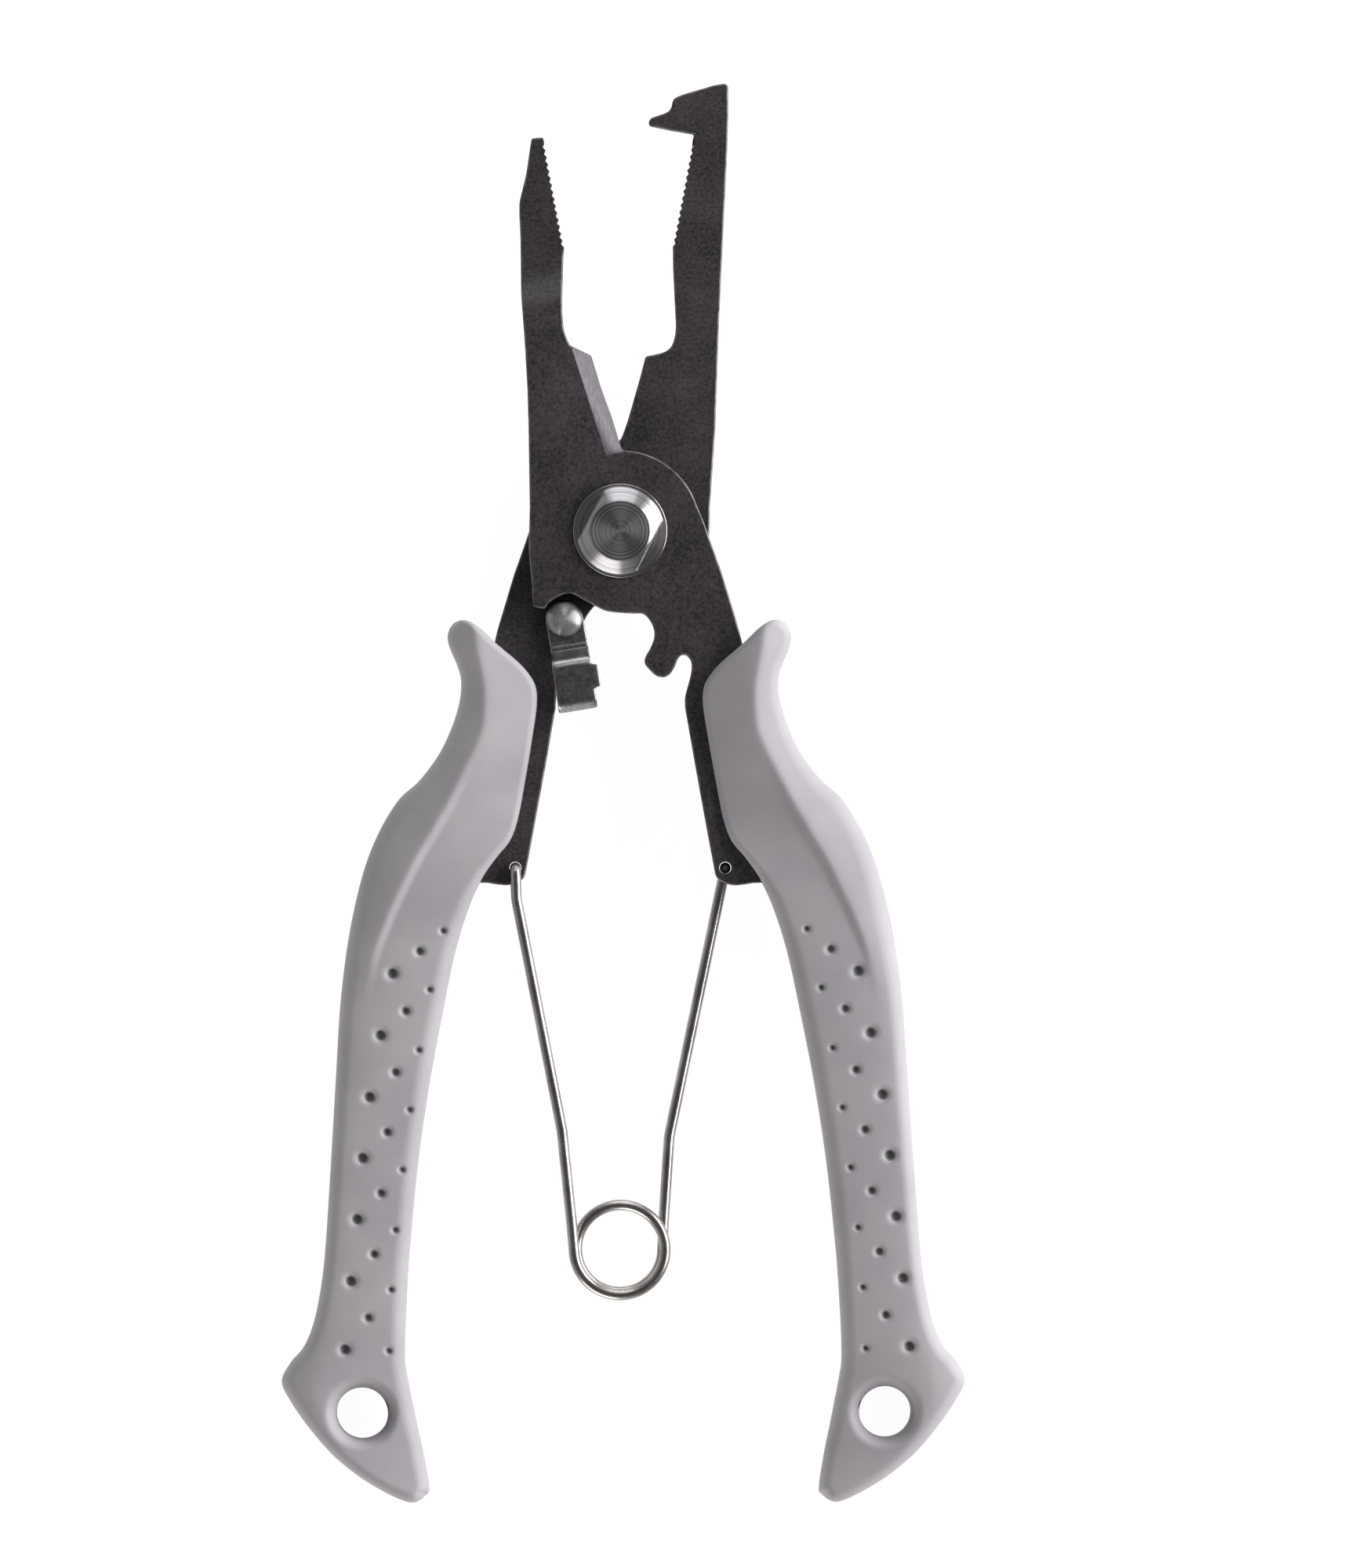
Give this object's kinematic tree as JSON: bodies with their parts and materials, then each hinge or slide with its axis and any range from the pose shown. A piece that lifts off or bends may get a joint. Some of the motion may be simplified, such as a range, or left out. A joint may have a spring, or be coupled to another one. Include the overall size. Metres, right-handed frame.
{
  "type": "fishing pliers",
  "caption": "Slim fishing pliers with a hooked split-ring tip, toothed jaws, side cutter, dimpled soft grips, wire return spring and closing latch.",
  "frame": {"origin": "on the surface that the pliers lie on, below the centre of the rectangle that they fill when open", "axes": "+Y runs from the handles to the jaw tips, +Z is the pivot axis and points up out of the face with the bolt head and latch, +X is to the right"},
  "size_m": [0.0874, 0.181, 0.0125],
  "materials": {
    "coated_steel": "black satin coating on stamped stainless steel",
    "turned_steel": "turned stainless steel",
    "sheet_steel": "pressed stainless sheet",
    "spring_steel": "drawn spring wire",
    "grip_elastomer": "matt grey moulded elastomer"
  },
  "bodies": {
    "rear_half": {"rear_arm": "coated_steel", "left_grip": "grip_elastomer", "pivot_bolt": "turned_steel", "pivot_washer": "turned_steel", "pivot_nut": "turned_steel", "latch_rivet": "turned_steel", "latch_washer": "turned_steel"},
    "front_half": {"front_arm": "coated_steel", "right_grip": "grip_elastomer"},
    "latch": {"latch_lever": "sheet_steel"},
    "spring_left": {"spring_left_leg": "spring_steel", "spring_coil": "spring_steel"},
    "spring_right": {"spring_right_leg": "spring_steel"}
  },
  "joints": [
    {"name": "arm_pivot", "type": "hinge", "parent": "rear_half", "child": "front_half", "pos_m": [-0.0004, 0.03342, 0.00625], "axis": [0, 0, -1], "range_deg": [0, 21.5], "stiffness_Nm_per_rad": 0.6},
    {"name": "latch_swing", "type": "hinge", "parent": "rear_half", "child": "latch", "pos_m": [-0.00753, 0.02215, 0.00685], "axis": [0, 0, 1], "range_deg": [0, 27.5]},
    {"name": "spring_eye", "type": "hinge", "parent": "rear_half", "child": "spring_left", "pos_m": [-0.0138, -0.00958, 0.00625], "axis": [0, 0, -1], "range_deg": [0, 20.3]},
    {"name": "spring_coil_turn", "type": "hinge", "parent": "spring_left", "child": "spring_right", "pos_m": [-0.0004, -0.05828, 0.00625], "axis": [0, 0, 1], "range_deg": [0, 19.1]}
  ],
  "couplings": [
    {"joint": "spring_eye", "follows": "arm_pivot", "ratio": 0.944},
    {"joint": "spring_coil_turn", "follows": "arm_pivot", "ratio": 0.8876}
  ]
}
